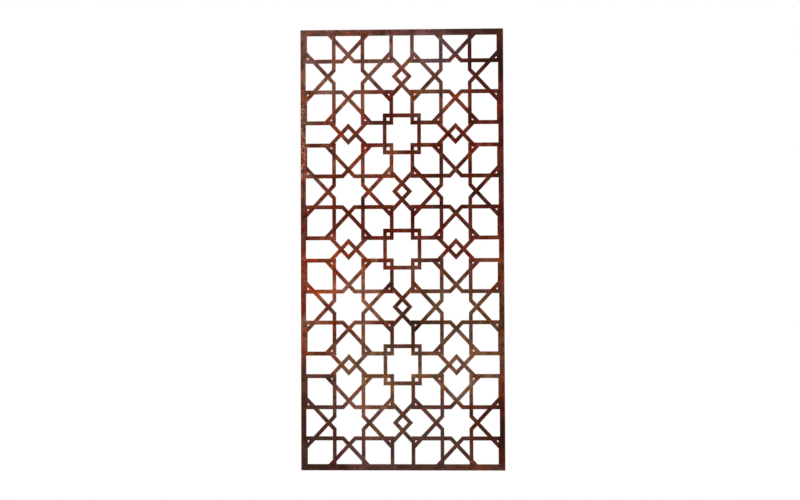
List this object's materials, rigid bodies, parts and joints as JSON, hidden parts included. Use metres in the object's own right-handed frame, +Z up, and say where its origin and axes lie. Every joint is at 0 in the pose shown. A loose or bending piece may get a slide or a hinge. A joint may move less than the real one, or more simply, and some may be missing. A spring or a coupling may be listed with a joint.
{
  "type": "mashrabiya screen",
  "caption": "Tall flat screen of rusted weathering steel, cut through from one sheet: a plain rim round a lattice of pointed stars, diamond knots and square rings.",
  "frame": {"origin": "on the back face, at the middle of the top rim", "axes": "+Z up along the panel's height, +X across it to the right as seen from the front, and +Y out of the back, so that the front faces -Y"},
  "size_m": [0.83, 0.003, 1.8],
  "materials": {
    "weathering_steel": "matte"
  },
  "bodies": {
    "root": {"screen_panel": "weathering_steel"}
  },
  "joints": []
}
